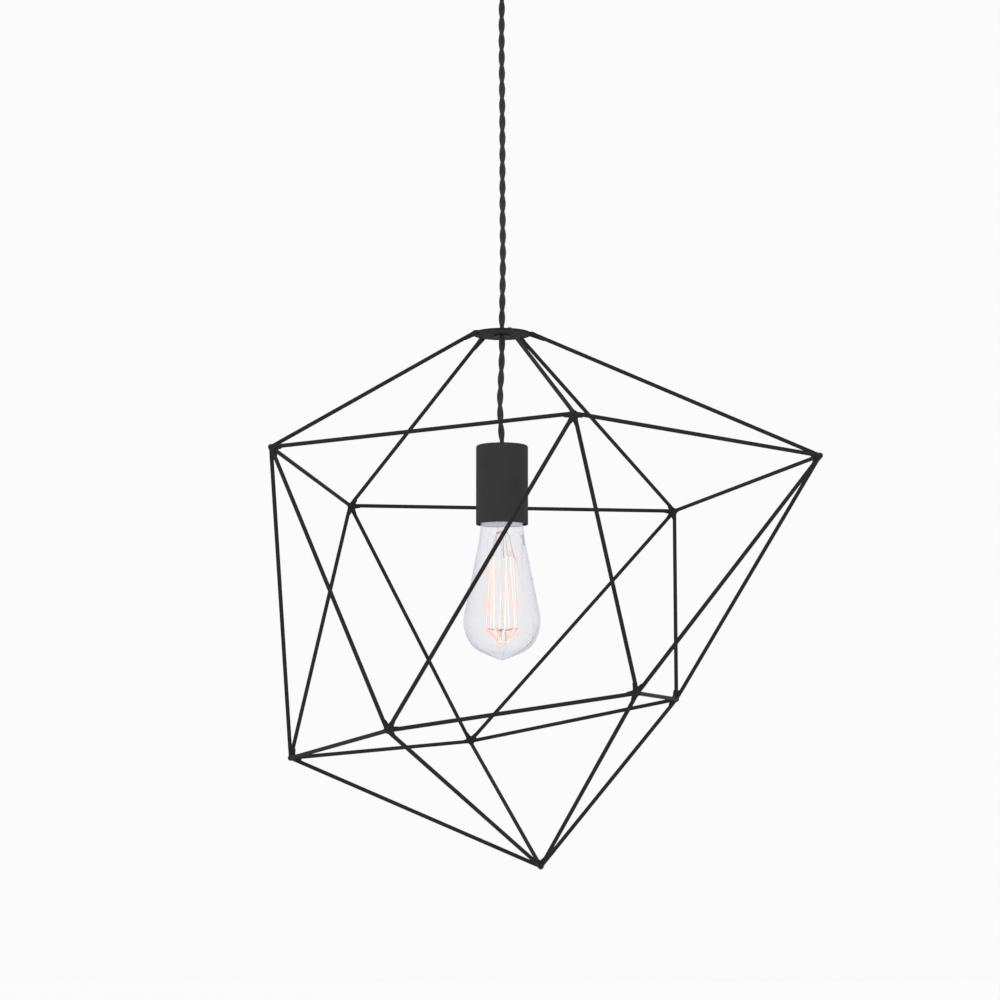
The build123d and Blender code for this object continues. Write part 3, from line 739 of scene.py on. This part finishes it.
def bent_wire(name, runs, thickness, bend, material):
    """Round wires along straight runs with rounded bends, one for each list of places."""
    bpy.ops.object.select_all(action="DESELECT")
    curve = bpy.data.curves.new(name, "CURVE")
    curve.dimensions = "3D"
    curve.resolution_u = 5
    curve.bevel_depth = thickness / 2
    curve.bevel_resolution = 3
    curve.use_fill_caps = True
    for stops in runs:
        eased = [stops[0]]
        for before, here, after in zip(stops, stops[1:], stops[2:]):
            near = min(bend, (here - before).length / 3, (after - here).length / 3)
            eased += [here + (before - here).normalized() * near, here,
                      here + (after - here).normalized() * near]
        eased.append(stops[-1])
        line = curve.splines.new("NURBS")
        line.points.add(len(eased) - 1)
        for point, place in zip(line.points, eased):
            point.co = (*place, 1)
        line.order_u = 3
        line.use_endpoint_u = True
    piece = bpy.data.objects.new(name, curve)
    bpy.context.scene.collection.objects.link(piece)
    piece.select_set(True)
    bpy.context.view_layer.objects.active = piece
    bpy.ops.object.convert(target="MESH")
    piece = bpy.context.active_object
    piece.data.materials.clear()
    piece.data.materials.append(material)
    return piece


hook_count = 5
first_angle = 9
leg_angle = 180 / hook_count
button_z = cap_rim - 0.0135
hook_z = cap_rim - 0.034
eyelet_z = cap_rim - 0.092
hub_z = cap_rim - 0.0933
tip_z = cap_rim - 0.105

# Radius and height of each bend in an upper hook and a lower hook, from the stem outwards
support_thick = 0.00034
support_bend = 0.0015
upper_hook = [(0.0046, button_z + 0.0008), (0.0060, button_z - 0.0015), (0.0104, hook_z + 0.0002),
              (0.0118, hook_z - 0.0005), (0.0122, hook_z + 0.0010)]
lower_hook = [(0.0014, eyelet_z - 0.0025), (0.0040, tip_z + 0.0085), (0.0038, tip_z + 0.0005),
              (0.0030, tip_z - 0.0004)]
arm_radius = 0.0142
arm_z = eyelet_z - 0.0004
button_rings = (0.0050, 0.0046, 0.0042)
hub_rings = (0.0018, 0.0023)

wire_runs = []
for index in range(hook_count):
    angle = first_angle + index * 360 / hook_count
    below = angle + leg_angle
    lower_run = [at(radius, below, height) for radius, height in lower_hook]
    wire_runs.append([at(radius, angle, height) for radius, height in upper_hook])
    wire_runs.append(lower_run)
    for side in (-1, 1):
        wire_runs.append([lower_run[0], at(arm_radius, below - side * leg_angle / 2, arm_z)])
for radius in button_rings:
    wire_runs.append([at(radius, turn, button_z + 0.0010) for turn in range(0, 361, 30)])
for radius in hub_rings:
    wire_runs.append([at(radius, turn, hub_z) for turn in range(0, 361, 45)])

# Copper plate on the wire shows as a soft orange glint
copper_wire = bare_metal("copper_plated_wire", "e39a63", 0.4)
supports = bent_wire("bulb_support_wires", wire_runs, support_thick, support_bend, copper_wire)
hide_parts("bulb_supports")
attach(supports, "bulb")

# One thread that goes over each upper hook, down through an eyelet, under a lower hook and up
filament_thick = 0.0015
filament_bend = 0.003
hook_radius = 0.0108
eyelet_radius = 0.0144
tip_radius = 0.0035
filament_run = []
for index in range(hook_count):
    angle = first_angle + index * 360 / hook_count
    filament_run += [at(hook_radius, angle - leg_angle / 4, hook_z),
                     at(hook_radius, angle + leg_angle / 4, hook_z),
                     at(eyelet_radius, angle + leg_angle / 2, eyelet_z),
                     at(tip_radius, angle + leg_angle, tip_z),
                     at(eyelet_radius, angle + leg_angle * 1.5, eyelet_z)]
filament = bent_wire("glowing_filament", [filament_run], filament_thick, filament_bend,
                     glowing_carbon("glowing_carbon", "fffaf5", "f7c9b3", 1.1))
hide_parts("bulb_filament")
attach(filament, "bulb")

# The ceiling fitting
# A spun steel cup, powder coated black, is held by two screws through its wall to the ears of a
# zinc-plated bracket. A nylon grip in its floor holds the cord, whose cores end in a terminal
# block.
dress("canopy_cup", powder_coat("canopy_powder_coat", "333333"))
dress("cord_grip", black_nylon)
dress("cord_grip_nut", black_nylon)

# Zinc plate is a plain light grey with a soft shine, and the block an off-white soft plastic
zinc_plate = bare_metal("zinc_plated_steel", "b4b6b4", 0.38)
dress("ceiling_bracket", zinc_plate)
dress("canopy_side_screws", zinc_plate)
dress("terminal_screws", zinc_plate)
dress("terminal_sleeves", brass)
dress("terminal_block", moulded_plastic("white_polyamide", "d9d7cf", 0.45))
